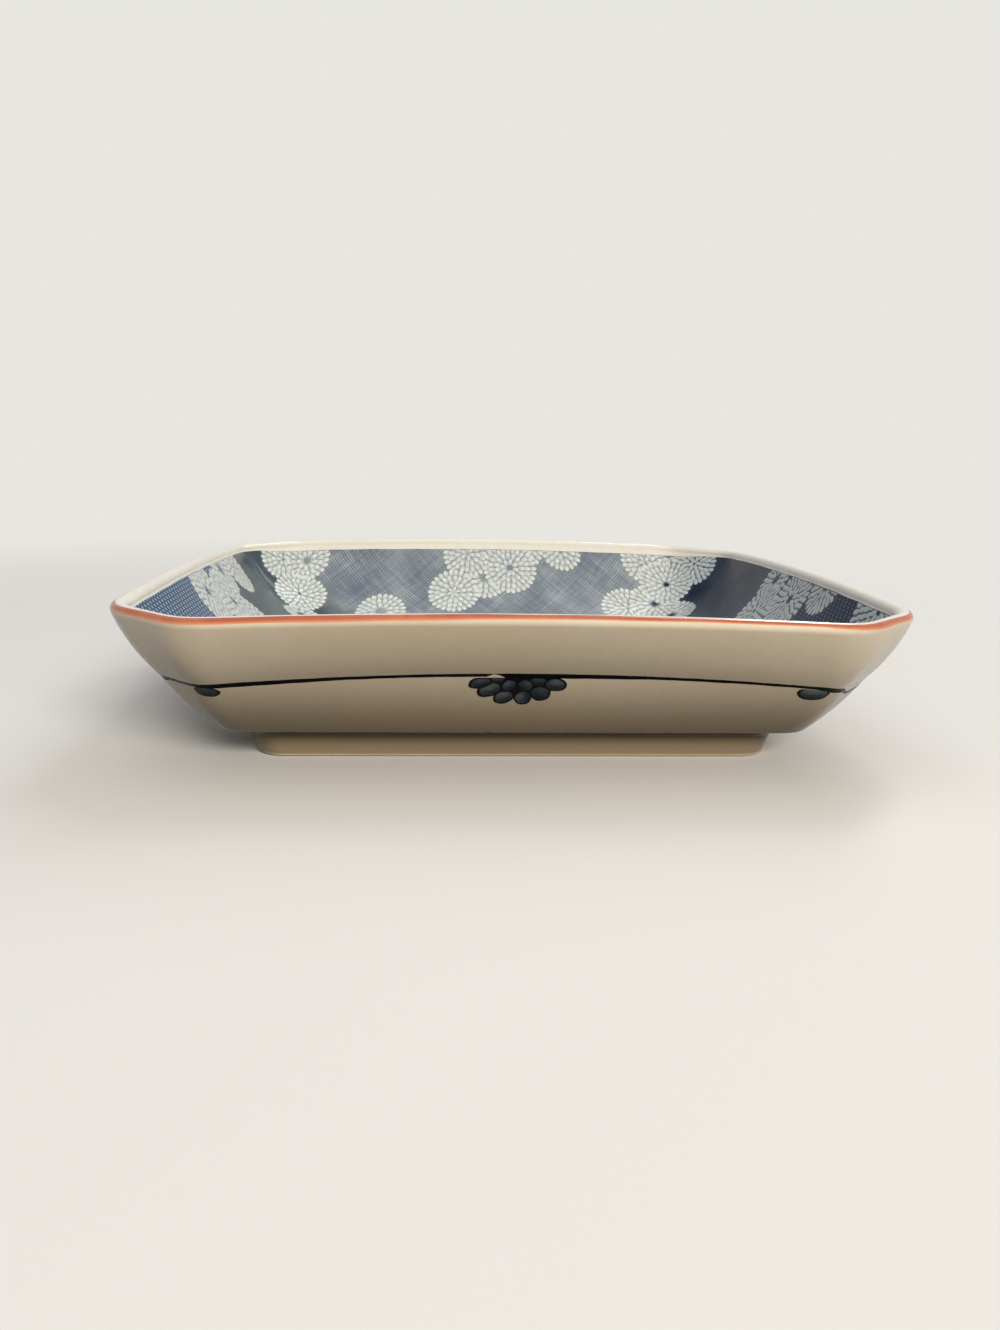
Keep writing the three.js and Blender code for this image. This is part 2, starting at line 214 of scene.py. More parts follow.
def profile_stretches():
    shoulder = (WIDTH / 2 - SHOULDER_INSET, CORNER_HEIGHT - SHOULDER_DROP)
    step_foot = (shoulder[0] - STEP_DEPTH, shoulder[1] - BLUE_LINE_HEIGHT)
    wall_end = (shoulder[0] - WALL_END_INSET, FOOT_HEIGHT + LEDGE_RISE)
    root = (wall_end[0] - LEDGE_WIDTH, FOOT_HEIGHT)
    outer = root[0] - FOOT_TAPER
    inner = outer - FOOT_THICKNESS
    edge = FOOT_EDGE_ROUND
    lip = LIP_THICKNESS / 2
    lip_centre = (WIDTH / 2 - lip, CORNER_HEIGHT - lip)
    lip_inside = (lip_centre[0] - lip, lip_centre[1])
    floor = BASE_HEIGHT + FLOOR_THICKNESS
    share = (floor - lip_inside[1]) / (shoulder[1] - lip_inside[1])
    corner = (lip_inside[0] + share * (shoulder[0] - SHOULDER_WALL - lip_inside[0]), floor)
    base_edge = (inner - FOOT_TAPER - BASE_FILLET, BASE_HEIGHT)
    turn = np.linspace(0, math.pi, LIP_POINTS)[:, None]
    return {
        "base": np.array([(0, BASE_HEIGHT), base_edge]),
        "recess": bezier(base_edge, (inner - FOOT_TAPER, BASE_HEIGHT), (inner, edge)),
        "bare": np.vstack([
            bezier((inner, edge), (inner, 0), (inner + edge, 0)),
            bezier((outer - edge, 0), (outer, 0), (outer, edge)),
        ]),
        "foot": np.array([(outer, edge), (root[0], root[1] - ROOT_FILLET)]),
        "root": bezier((root[0], root[1] - ROOT_FILLET), root, wall_end),
        "lower": swelling(wall_end, step_foot, LOWER_WALL_BULGE),
        "step": np.array([step_foot, shoulder]),
        "upper": swelling(shoulder, (WIDTH / 2, lip_centre[1]), UPPER_WALL_BULGE),
        "lip": np.array(lip_centre) + lip * np.hstack([np.cos(turn), np.sin(turn)]),
        "well": bezier(lip_inside, corner, (corner[0] - FLOOR_SWEEP, floor)),
        "floor": np.array([(corner[0] - FLOOR_SWEEP, floor), (0, floor)]),
    }


def lerp(a, b, share):
    return a + (b - a) * share


def smooth(value, low, high):
    t = np.clip((value - low) / (high - low), 0, 1)
    return t * t * (3 - 2 * t)


def cut_shapes(names, half, z, stretches):
    """The cut, rounding and arch at each point of the profile."""
    rim_height = CORNER_HEIGHT - LIP_THICKNESS / 2
    outside = {
        FOOT_HEIGHT - ROOT_FILLET: FOOT,
        FOOT_HEIGHT + LEDGE_RISE: WALL_END,
        CORNER_HEIGHT - SHOULDER_DROP: SHOULDER,
        rim_height: RIM,
    }
    rim_inside = (RIM[0] - DIAGONAL_SHARE * LIP_THICKNESS, RIM[1] - LIP_THICKNESS, RIM_ARCH)
    inside = {BASE_HEIGHT + FLOOR_THICKNESS: FLOOR, rim_height: rim_inside}
    round_lip = np.arctan2(z - rim_height, half - (WIDTH / 2 - LIP_THICKNESS / 2)) / math.pi
    in_well = np.isin(names, ("well", "floor"))
    on_lip = names == "lip"
    shapes = []
    for i in range(3):
        values = np.interp(z, list(outside), [shape[i] for shape in outside.values()])
        well_values = np.interp(z, list(inside), [shape[i] for shape in inside.values()])
        values = np.where(in_well, well_values, values)
        shapes.append(np.where(on_lip, lerp(RIM[i], rim_inside[i], round_lip), values))
    for name in ("base", "floor"):
        here = names == name
        towards_axis = half[here] / stretches[name][:, 0].max()
        shapes[0][here] *= towards_axis
        shapes[1][here] *= towards_axis
    return shapes


def profile_table():
    """Half width, height, outward normal and cut shape at even steps of the distance s along the profile."""
    stretches = profile_stretches()
    points, starts = [], {}
    for name, line in stretches.items():
        starts[name] = len(points)
        points += list(line[:-1])
    points.append(stretches["floor"][-1])
    points = np.array(points)
    lengths = np.concatenate([[0], np.cumsum(np.linalg.norm(np.diff(points, axis=0), axis=1))])
    marks = {name: lengths[index] for name, index in starts.items()}
    marks["end"] = lengths[-1]
    s = np.linspace(0, lengths[-1], int(lengths[-1] / PROFILE_STEP))
    half, z = (np.interp(s, lengths, points[:, i]) for i in range(2))
    starting = np.array(list(marks.values())[:-1])
    names = np.array(list(stretches))[np.searchsorted(starting, s, side="right") - 1]
    cut, rounding, arch = cut_shapes(names, half, z, stretches)
    window = np.ones(PROFILE_SOFTENING) / PROFILE_SOFTENING
    margin = PROFILE_SOFTENING // 2
    for values in (half, z, cut, rounding, arch):
        values[margin:-margin] = np.convolve(values, window, "valid")
    across, up = np.gradient(half), np.gradient(z)
    length = np.hypot(across, up)
    table = {"s": s, "half": half, "z": z, "cut": cut, "rounding": rounding, "arch": arch}
    table.update(out=up / length, high=-across / length)
    return table, marks


TABLE, MARKS = profile_table()


def outline_at(s, depth=0.0):
    """The rounded, cut square that the profile makes at distance s, moved inwards by a depth."""
    at = {name: np.interp(s, TABLE["s"], values) for name, values in TABLE.items() if name != "s"}
    moved = -at["out"] * depth
    half = at["half"] + moved
    cut = at["cut"] + DIAGONAL_SHARE * moved
    rounding = np.minimum(at["rounding"] + moved, ROUNDING_LIMIT * cut / DIAGONAL_SHARE)
    side_end = half - cut
    straight_end = side_end - rounding * TANGENT_SHARE
    face_length = math.sqrt(2) * cut - 2 * rounding * TANGENT_SHARE
    at.update(half=half, cut=cut, rounding=rounding, side_end=side_end, z=at["z"] - at["high"] * depth)
    at.update(straight_end=straight_end, face_length=face_length)
    return at


def on_outline(at, side, distance):
    """Points on an outline, by their distance along it from the middle of a side."""
    beyond = np.maximum(0, np.abs(distance) - at["straight_end"])
    rounding = np.maximum(at["rounding"], TINY_LENGTH)
    angle = np.minimum(beyond / rounding, EIGHTH_TURN)
    on_face = np.maximum(0, beyond - rounding * EIGHTH_TURN) * HALF_ROOT
    x = np.minimum(np.abs(distance), at["straight_end"]) + rounding * np.sin(angle) + on_face
    y = -at["half"] + rounding * (1 - np.cos(angle)) + on_face
    end = np.maximum(at["side_end"], TINY_LENGTH)
    rise = at["arch"] * np.maximum(0, 1 - (np.minimum(x, -y) / end) ** 2)
    x = np.where(distance < 0, -x, x)
    cosine, sine = np.cos(side * math.pi / 2), np.sin(side * math.pi / 2)
    return np.stack([x * cosine - y * sine, x * sine + y * cosine, at["z"] + rise], axis=-1)


# Columns round the dish: along a side, round its right edge, along the cut face, round the next left edge

def columns_round():
    column = []
    for side in range(4):
        for share in np.linspace(-1, 1, SIDE_POINTS + 1):
            column.append((side, share, 0, 0))
        for i in range(1, EDGE_POINTS + 1):
            column.append((side, 1, i / EDGE_POINTS, 0))
        for i in range(1, FACE_POINTS):
            column.append((side, 1, 1, i / FACE_POINTS))
        for i in range(EDGE_POINTS, 0, -1):
            column.append((side + 1, -1, i / EDGE_POINTS, 0))
    return np.array(column, float).T


COLUMN_SIDE, COLUMN_SHARE, COLUMN_EDGE, COLUMN_FACE = columns_round()
COLUMN_SIGN = np.where(COLUMN_SHARE < 0, -1, 1)


def column_distance(at):
    beyond = at["rounding"] * EIGHTH_TURN * COLUMN_EDGE + at["face_length"] * COLUMN_FACE
    return COLUMN_SHARE * at["straight_end"] + COLUMN_SIGN * beyond


def rings(s, depth=0.0):
    """Points of the dish for rows of distances s, one for each column."""
    at = outline_at(s, depth)
    return on_outline(at, COLUMN_SIDE, column_distance(at))


# Building meshes

def make_piece(name, points, faces, look, slot, node=None, **values):
    """A closed mesh from points in millimetres, with named values at its points, riding on the root."""
    mesh = bpy.data.meshes.new(name)
    mesh.from_pydata((points * MM).tolist(), [], faces)
    for key, data in values.items():
        data = np.asarray(data, np.float32)
        kind, field = ("FLOAT", "value") if data.ndim == 1 else ("FLOAT_VECTOR", "vector")
        mesh.attributes.new(key, kind, "POINT").data.foreach_set(field, data.ravel())
    mesh.polygons.foreach_set("use_smooth", np.ones(len(mesh.polygons), bool))
    mesh.set_sharp_from_angle(angle=SHARP_ANGLE)
    mesh.materials.append(look)
    piece = bpy.data.objects.new(name, mesh)
    bpy.context.scene.collection.objects.link(piece)
    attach(piece, "root")
    if node:
        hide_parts(node)
    return piece


def band_faces(rows, columns, closed):
    """Four-sided faces between rows of points round the dish, with a fan at each end if not closed."""
    faces = []
    for r in range(rows if closed else rows - 1):
        lower, upper = r * columns, (r + 1) % rows * columns
        for c in range(columns):
            d = (c + 1) % columns
            faces.append((lower + c, lower + d, upper + d, upper + c))
    if not closed:
        start, last = rows * columns, (rows - 1) * columns
        for c in range(columns):
            d = (c + 1) % columns
            faces.append((d, c, start))
            faces.append((last + c, last + d, start + 1))
    return faces


def coat(name, s, look, slot, axis_end=None, depth=0.0, **values):
    """A coat of glaze or paint whose finished face follows rows of profile distances s."""
    back_rows = np.unique(np.append(np.arange(0, len(s), BACK_ROW_STRIDE), len(s) - 1))[::-1]
    order = -1 if axis_end == "end" else 1
    rows = [rings(s, depth), rings(s[back_rows], GLAZE)][::order]
    points = np.concatenate(rows).reshape(-1, 3)
    spread = {}
    for key, data in values.items():
        both = np.concatenate([data, data[back_rows]][::order])
        spread[key] = both.reshape(-1, *both.shape[2:])
    if axis_end:
        ends = [rows[0][0], rows[-1][-1]]
        points = np.vstack([points] + [[0, 0, end[:, 2].mean()] for end in ends])
        spread = {key: np.concatenate([data, np.zeros_like(data[:2])]) for key, data in spread.items()}
    row_count = sum(len(part) for part in rows)
    faces = band_faces(row_count, s.shape[1], closed=not axis_end)
    return make_piece(name, points, faces, look, slot, name[len(FINE):], **spread)


def between(low, high, count):
    """Rows of profile distances from one border to another."""
    low, high = (np.broadcast_to(edge, COLUMN_SHARE.shape) for edge in (low, high))
    return lerp(low, high, np.linspace(0, 1, count)[:, None])


# Materials

def colour(red, green, blue):
    """A colour given as it shows on a screen, 0 to 255."""
    shares = [channel / 255 for channel in (red, green, blue)]
    return tuple(((c + 0.055) / 1.055) ** 2.4 if c > 0.04045 else c / 12.92 for c in shares) + (1.0,)


class Nodes:
    """Short ways to add nodes to a tree."""

    def __init__(self, tree):
        self.nodes, self.links = tree.nodes, tree.links

    def add(self, kind, inputs, output=0, **settings):
        node = self.nodes.new("ShaderNode" + kind)
        for key, value in settings.items():
            setattr(node, key, value)
        for key, value in inputs.items():
            self.feed(node.inputs[key], value)
        return node.outputs[output]

    def feed(self, socket, value):
        if isinstance(value, bpy.types.NodeSocket):
            self.links.new(value, socket)
        else:
            socket.default_value = value

    def calc(self, operation, *values):
        return self.add("Math", dict(enumerate(values)), operation=operation)

    def background_rays(self):
        """1 for the rays that show the background: the camera's own, and mirrored or refracted ones."""
        kinds = ("Is Camera Ray", "Is Glossy Ray", "Is Transmission Ray")
        camera, glossy, through = (self.add("LightPath", {}, output=kind) for kind in kinds)
        return self.calc("MAXIMUM", self.calc("MAXIMUM", camera, glossy), through)


class Look(Nodes):
    """A material with one glossy shader."""

    def __init__(self, name, roughness, specular=0.5):
        self.material = bpy.data.materials.new(name)
        self.material.use_nodes = True
        super().__init__(self.material.node_tree)
        self.shader = self.nodes["Principled BSDF"]
        self.shader.inputs["Roughness"].default_value = roughness
        self.shader.inputs["Specular IOR Level"].default_value = specular

    def set(self, **inputs):
        for key, value in inputs.items():
            self.feed(self.shader.inputs[key.replace("_", " ")], value)

    def place(self):
        """Where a point is on the dish, in metres."""
        return self.add("TexCoord", {}, output="Object")

    def value(self, name):
        return self.add("Attribute", {}, output="Fac", attribute_name=name)

    def vector(self, name):
        return self.add("Attribute", {}, output="Vector", attribute_name=name)

    def noise(self, where, scale, detail=2.0, roughness=0.5, stretch=(1, 1, 1)):
        if stretch != (1, 1, 1):
            where = self.add("VectorMath", {0: where, 1: stretch}, operation="MULTIPLY")
        inputs = {"Vector": where, "Scale": scale, "Detail": detail, "Roughness": roughness}
        return self.add("TexNoise", inputs)

    def fade(self, value, low, high, to_low=0.0, to_high=1.0):
        """A value eased from one range to another, and held at its ends."""
        ranges = {"From Min": low, "From Max": high, "To Min": to_low, "To Max": to_high}
        return self.add("MapRange", {"Value": value, **ranges}, interpolation_type="SMOOTHSTEP")

    def mix(self, share, a, b):
        return self.add("Mix", {0: share, 6: a, 7: b}, output=2, data_type="RGBA")

    def blend(self, share, a, b):
        return self.add("Mix", {0: share, 2: a, 3: b}, output=0, data_type="FLOAT")

    def bump(self, height, strength, distance):
        inputs = {"Height": height, "Strength": strength, "Distance": distance}
        self.set(Normal=self.add("Bump", inputs))


def glaze_look(name, shade, light, painted_shade_strength):
    """Warm white glaze: faint clouds, a few iron specks, slightly uneven gloss, and painted shade that
    darkens it towards the foot.
    """
    look = Look(name, GLAZE_ROUGHNESS, 0.4)
    place = look.place()
    clouds = look.fade(look.noise(place, 22, detail=3), 0.35, 0.65)
    tone = look.mix(clouds, shade, light)
    mottle = look.fade(look.noise(place, 420, detail=4, roughness=0.65), 0.3, 0.7, 0.0, 0.22)
    tone = look.mix(mottle, tone, colour(215, 199, 174))
    cells = look.nodes.new("ShaderNodeTexVoronoi")
    look.feed(cells.inputs["Vector"], place)
    cells.inputs["Scale"].default_value = 95
    chosen = look.add("SeparateColor", {"Color": cells.outputs["Color"]}, output="Red")
    spot = look.fade(cells.outputs["Distance"], 0.012, 0.03, 1.0, 0.0)
    speck = look.calc("MULTIPLY", spot, look.calc("GREATER_THAN", chosen, 0.82))
    height = look.add("SeparateXYZ", {"Vector": place}, output="Z")
    # Painted shade: the glaze turns darker and browner towards the foot, a little less at the very bottom,
    # standing in for the shade on the lower wall
    pooled = look.fade(height, 4 * MM, PAINTED_SHADE_TOP * MM, painted_shade_strength, 0.0)
    pooled = look.calc("MULTIPLY", pooled, look.fade(height, 0, 5 * MM, 0.8, 1.0))
    tone = look.mix(pooled, tone, colour(124, 104, 73))
    tone = look.mix(look.calc("MULTIPLY", speck, 0.55), tone, colour(112, 88, 60))
    look.set(Base_Color=tone)
    look.set(Roughness=look.fade(look.noise(place, 60, detail=2), 0.3, 0.7, *GLOSS_RANGE))
    ripple = look.noise(place, 130, detail=3, roughness=0.55)
    look.bump(ripple, 0.10, 0.0004)
    return look.material


def bare_look():
    """Unglazed foot: matt, sandy, and toasted towards the glaze."""
    look = Look("bare_foot", 0.62)
    place = look.place()
    grain = look.noise(place, 2600, detail=3, roughness=0.7)
    blotch = look.fade(look.noise(place, 70, detail=3), 0.35, 0.65)
    tone = look.mix(blotch, colour(214, 199, 172), colour(225, 213, 190))
    tone = look.mix(look.fade(grain, 0.35, 0.75, 0.0, 0.35), tone, colour(176, 156, 124))
    height = look.add("SeparateXYZ", {"Vector": place}, output="Z")
    toast = look.calc("MULTIPLY", look.fade(height, 0.2 * MM, 0.6 * MM), 0.5)
    tone = look.mix(toast, tone, colour(176, 138, 96))
    look.set(Base_Color=tone, Roughness=look.fade(grain, 0.3, 0.7, 0.5, 0.75))
    look.bump(grain, 0.35, 0.0001)
    return look.material


def red_look():
    """Iron red enamel, uneven along the line, faded at its outer edge and pooled dark at its inner edge."""
    look = Look("red_enamel", 0.22, 0.3)
    place = look.place()
    across = look.value("across")
    inwards = look.fade(across, 0.0, 0.3)
    load = look.fade(look.noise(place, 90, detail=4, roughness=0.6), 0.25, 0.7)
    weight = look.calc("MULTIPLY", look.blend(0.3, inwards, load), 1.1)
    tone = look.mix(weight, colour(232, 178, 144), colour(204, 117, 82))
    pooled = look.calc("MULTIPLY", look.fade(across, 0.22, 0.55), look.fade(load, 0.0, 1.0, 0.55, 0.95))
    tone = look.mix(pooled, tone, colour(166, 80, 50))
    worn = look.fade(look.noise(place, 330, detail=5, roughness=0.7), 0.62, 0.75, 0.0, 0.5)
    tone = look.mix(worn, tone, colour(230, 172, 138))
    look.set(Base_Color=tone)
    look.set(Roughness=look.fade(load, 0.0, 1.0, 0.3, 0.18))
    look.bump(load, 0.15, 0.00005)
    return look.material


def cobalt_look():
    """Nearly black cobalt under the glaze, bluer where the brush was dry."""
    look = Look("cobalt_line", 0.16, 0.03)
    place = look.place()
    dry = look.fade(look.noise(place, 160, detail=4, roughness=0.6), 0.45, 0.75)
    tone = look.mix(dry, colour(4, 5, 9), colour(20, 25, 36))
    edge = look.fade(look.calc("ABSOLUTE", look.calc("SUBTRACT", look.value("across"), 0.5)), 0.42, 0.5)
    tone = look.mix(look.calc("MULTIPLY", edge, 0.3), tone, colour(70, 74, 82))
    look.set(Base_Color=tone)
    look.bump(look.noise(place, 200, detail=2), 0.06, 0.0002)
    return look.material


def petal_look():
    """Half flower under the line: black outlines round washed blue grey petals."""
    look = Look("painted_petal", 0.2, 0.08)
    place = look.place()
    shade = look.value("shade")
    grain = look.fade(look.noise(place, 1500, detail=4, roughness=0.7), 0.3, 0.7, -0.08, 0.08)
    wash = look.calc("ADD", shade, look.calc("MULTIPLY", grain, look.fade(shade, 0.05, 0.3)))
    tone = look.mix(look.fade(wash, 0.0, 0.4), colour(2, 3, 7), colour(48, 58, 68))
    tone = look.mix(look.fade(wash, 0.35, 1.0), tone, colour(98, 108, 110))
    look.set(Base_Color=tone)
    look.bump(grain, 0.04, 0.0001)
    return look.material


def blossom_look():
    """White petals of the well, a little bluer at the root, each with its own tone, and darker on the right
    wall as painted shade.
    """
    look = Look("white_petal", 0.2, 0.2)
    root = look.fade(look.value("reach"), 0.1, 0.75)
    tone = look.mix(root, colour(176, 186, 190), colour(222, 225, 220))
    own = look.calc("MULTIPLY", look.value("tone"), 0.5)
    tone = look.mix(own, tone, colour(192, 199, 200))
    place = look.place()
    wash = look.fade(look.noise(place, 900, detail=3), 0.4, 0.75, 0.0, 0.3)
    tone = look.mix(wash, tone, colour(180, 188, 191))
    # Painted shade: the petals on the right wall are darker
    right = look.fade(look.add("SeparateXYZ", {"Vector": place}, output="X"), 50 * MM, 64 * MM, 0.0, 0.7)
    tone = look.mix(right, tone, colour(168, 178, 184))
    look.set(Base_Color=tone)
    return look.material


def threads(look, across, pitch, strength):
    """Fine parallel lines, each place with its own strength."""
    wave = look.calc("SINE", look.calc("MULTIPLY", across, 2 * math.pi / pitch))
    return look.calc("MULTIPLY", wave, strength)


def hatched_ground(look, x, y, chart):
    """Cross-hatched blue grey: fine threads both ways over faint streaks and lighter and darker diamonds."""
    wander = look.calc("MULTIPLY", look.calc("SUBTRACT", look.noise(chart, 0.22), 0.5), 0.6)
    rising = look.calc("ADD", look.calc("MULTIPLY", look.calc("ADD", x, y), HALF_ROOT), wander)
    falling = look.calc("ADD", look.calc("MULTIPLY", look.calc("SUBTRACT", x, y), HALF_ROOT), wander)
    woven = look.add("CombineXYZ", {0: rising, 1: falling})
    along, across = (look.noise(woven, 1, 3, 0.6, stretch) for stretch in ((0.95, 0.09, 1), (0.09, 0.95, 1)))
    one_way = threads(look, rising, HATCH_PITCH, along)
    fine = look.calc("ADD", one_way, threads(look, falling, HATCH_PITCH, across))
    diamonds = look.noise(woven, 0.085, 1, 0.4)
    value = look.calc("MULTIPLY_ADD", fine, 0.21, look.blend(0.6, look.noise(chart, 0.05, 2), diamonds))
    streaks = look.calc("SUBTRACT", look.calc("ADD", along, across), 1.0)
    value = look.calc("MULTIPLY_ADD", streaks, 0.5, value)
    tone = look.mix(look.fade(value, 0.15, 0.5), colour(94, 106, 121), colour(126, 136, 148))
    return look.mix(look.fade(value, 0.45, 0.85), tone, colour(174, 181, 187))


def lattice_ground(look, x, y):
    """Deep blue with bricked rows of short light dashes that point down the wall, like a woven net."""
    depth = look.calc("DIVIDE", look.calc("ABSOLUTE", x), DASH_ROW_PITCH)
    row = look.calc("FLOOR", depth)
    slant = look.calc("MULTIPLY_ADD", depth, 0.3, look.calc("DIVIDE", y, DASH_PITCH))
    run = look.calc("FRACT", look.calc("MULTIPLY_ADD", row, 0.5, slant))
    along = look.fade(look.calc("ABSOLUTE", look.calc("SUBTRACT", run, 0.5)), 0.10, 0.32, 1.0, 0.0)
    height = look.calc("ABSOLUTE", look.calc("SUBTRACT", look.calc("FRACT", depth), 0.5))
    dash = look.calc("MULTIPLY", along, look.fade(height, 0.24, 0.46, 1.0, 0.0))
    left = look.fade(x, -20, 20, 1.0, 0.0)
    deep = look.mix(left, colour(8, 27, 58), colour(34, 64, 100))
    light = look.mix(left, colour(70, 92, 120), colour(142, 170, 196))
    return look.mix(dash, deep, light)


def well_look():
    """Blue ground of the well: hatched to front and back, latticed at the sides, plain in the corners."""
    look = Look("blue_well", 0.2, 0.06)
    chart = look.vector("chart")
    x, y = (look.add("SeparateXYZ", {"Vector": chart}, output=axis) for axis in "XY")
    wide, deep = look.calc("ABSOLUTE", x), look.calc("ABSOLUTE", y)
    sideways = look.calc("SUBTRACT", wide, deep)
    drift = look.calc("MULTIPLY", look.calc("SUBTRACT", look.noise(chart, 0.07, 1), 0.5), 26)
    at_sides = look.fade(look.calc("ADD", sideways, drift), -1.5, 1.5)
    tone = look.mix(at_sides, hatched_ground(look, x, y, chart), lattice_ground(look, x, y))
    cloud = look.fade(look.noise(chart, 0.09, 3), 0.3, 0.7)
    dark = look.mix(cloud, colour(10, 26, 50), colour(36, 52, 76))
    grey = look.mix(cloud, colour(92, 104, 112), colour(124, 133, 136))
    grey = look.mix(look.fade(sideways, -9, -3), grey, colour(66, 80, 88))
    plain = look.mix(look.fade(x, -30, 30), grey, dark)
    # The far half of the side walls, the corners beyond it and the mouth of each near corner are plain
    far = look.calc("MULTIPLY", look.fade(y, 16, 24), look.fade(sideways, -18, -9))
    near = look.calc("MULTIPLY", look.fade(y, -62, -56, 1.0, 0.0), look.fade(sideways, -14, -6))
    outer = look.fade(look.calc("MAXIMUM", wide, deep), 38, 46)
    tone = look.mix(look.calc("MULTIPLY", look.calc("MAXIMUM", far, near), outer), tone, plain)
    pooled = look.fade(look.noise(chart, 0.03, 2), 0.35, 0.7, 0.0, 0.2)
    tone = look.mix(pooled, tone, colour(88, 99, 115))
    # The pale wash between each flower's petals turns darker on the right wall, as painted shade
    wash = look.mix(look.fade(x, 52, 74), colour(150, 158, 162), colour(84, 96, 112))
    tone = look.mix(look.value("bloom"), tone, wash)
    look.set(Base_Color=tone)
    look.bump(look.noise(look.place(), 130, detail=3, roughness=0.55), 0.08, 0.0004)
    return look.material


# One glaze in three copies: the walls' copy is warmer than the lip's as painted warm light, and it and the
# base's copy darken towards the foot as painted shade
GLAZE_PAINTED_WARM_AND_SHADED = glaze_look("glaze_painted_warm_and_shaded", colour(228, 213, 188), colour(233, 220, 198), 0.95)
BASE = glaze_look("base_glaze", colour(224, 213, 192), colour(230, 221, 203), 0.2)
LIP_WHITE = glaze_look("lip_glaze", colour(226, 223, 214), colour(231, 228, 220), 0.0)
BARE, RED = bare_look(), red_look()
COBALT, PETAL, BLOSSOM, WELL = cobalt_look(), petal_look(), blossom_look(), well_look()


# Borders between the coats, which wander a little as hand-painted lines do

# Quarter turns that half a side, a rounding and a cut face take
HALF_SIDE_TURN = 0.4
EDGE_TURN = 0.04
FACE_TURN = 0.12
ROUND_EDGE = EDGE_TURN * COLUMN_EDGE * COLUMN_SIGN
TURNS = COLUMN_SIDE + HALF_SIDE_TURN * COLUMN_SHARE + ROUND_EDGE + FACE_TURN * COLUMN_FACE
ROUND = TURNS * math.pi / 2


def wander(border):
    """A sum of waves round the dish."""
    amount, *waves = WANDERS[border]
    return amount * sum(np.sin(count * ROUND + start) for count, start in waves) / len(waves)


def rise_and_fall(value, rising, falling):
    """Eased from 0 to 1 over one range, and back over another, given from its end to its start."""
    return smooth(value, *rising) * smooth(value, *falling)


def white_border(turns):
    """How far the white runs down from the lip, eased from side to side over the cut corners."""
    side = np.floor(turns + HALF_SIDE_TURN).astype(int)
    widths = np.array([WHITE_BORDERS[name] for name in SIDES])
    eased = smooth(turns - side, HALF_SIDE_TURN, 1 - HALF_SIDE_TURN)
    return lerp(widths[side % 4], widths[(side + 1) % 4], eased)


def blue_line_borders():
    """Borders of a line that is thick at its left end, past the flower and past the right petal."""
    on_side = (COLUMN_EDGE == 0) & (COLUMN_FACE == 0)
    past_right_petal = CORNER_GROWTH * smooth(COLUMN_SHARE, *RIGHT_END)
    along_side = np.maximum(smooth(-COLUMN_SHARE, *LEFT_END), past_right_petal)
    corner = TURNS % 1
    round_corner = CORNER_GROWTH + rise_and_fall(corner, *CORNER_START)
    round_corner += (1 - CORNER_GROWTH) * smooth(corner, *CORNER_END)
    thick_ends = np.where(on_side, along_side, round_corner)
    along = COLUMN_SHARE * outline_at(MARKS["step"])["straight_end"] - FLOWER_SHIFT
    past_flower = np.where(on_side, rise_and_fall(along, *PAST_FLOWER), 0)
    thickness = LINE_END_GROWTH * np.maximum(thick_ends, PAST_FLOWER_GROWTH * past_flower) - LINE_THINNING
    lower = MARKS["step"] - thickness - wander("line_foot")
    upper = MARKS["upper"] + LINE_TOP + wander("line_top")
    gap_start = LINE_GAP_LENGTH / 2
    gap = smooth(np.abs(along - LINE_GAP_PLACE), gap_start, gap_start + LINE_GAP_ENDS)
    lower = np.where(on_side, lerp(upper - LINE_GAP_THREAD, lower, gap), lower)
    sag = LINE_SAG * rise_and_fall(TURNS, *SAGGING)
    return lower - sag, upper - sag


def red_line_borders():
    """Borders of a line that is widest at the left of the front, and thins towards its right."""
    raised = RED_LINE_RISE * rise_and_fall(TURNS, *RED_LINE_RISES)
    thinned = RED_LINE_THINNING * rise_and_fall(TURNS, *RED_LINE_THINS)
    start = MARKS["lip"] + RED_LINE_START + wander("red_start")
    from_front = np.abs((TURNS + 2) % 4 - 2)
    width = lerp(RED_LINE_WIDTH, FRONT_RED_LINE_WIDTH - thinned, smooth(from_front, *RED_LINE_FRONT))
    return start + raised, start + width + wander("red_end")


